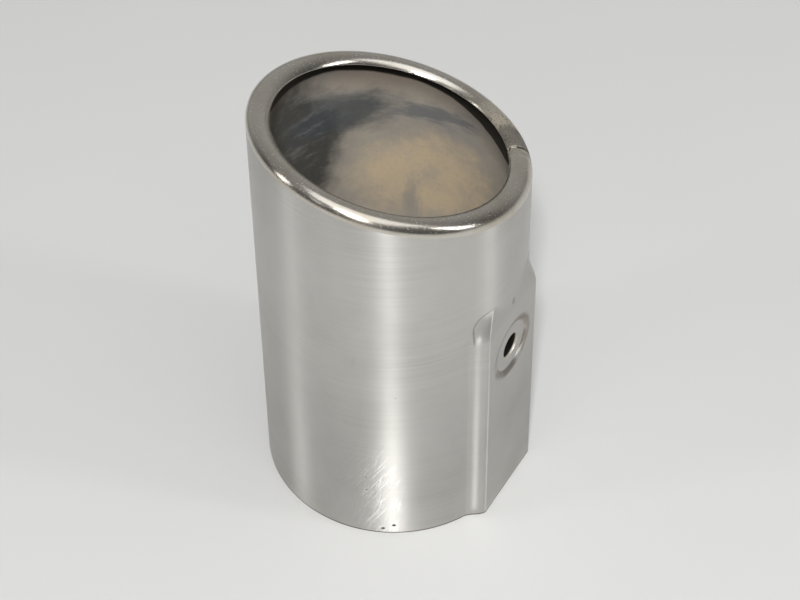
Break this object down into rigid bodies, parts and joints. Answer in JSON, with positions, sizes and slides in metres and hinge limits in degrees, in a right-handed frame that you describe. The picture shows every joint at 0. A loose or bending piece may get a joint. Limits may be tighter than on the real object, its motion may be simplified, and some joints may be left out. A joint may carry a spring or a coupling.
{
  "type": "exhaust tip",
  "caption": "Round single-wall exhaust tip with a slanted, inward rolled mouth and a pressed flat pad with a recessed screw hole.",
  "frame": {"origin": "on the tube's axis, in the plane of the inlet end that it stands on", "axes": "+Z along the tube's axis towards the mouth, -Y out of the screw pad"},
  "size_m": [0.088, 0.0885, 0.1578],
  "materials": {
    "steel": "polished outside, dull and heat stained inside"
  },
  "bodies": {
    "root": {"tip_shell": "steel"}
  },
  "joints": []
}
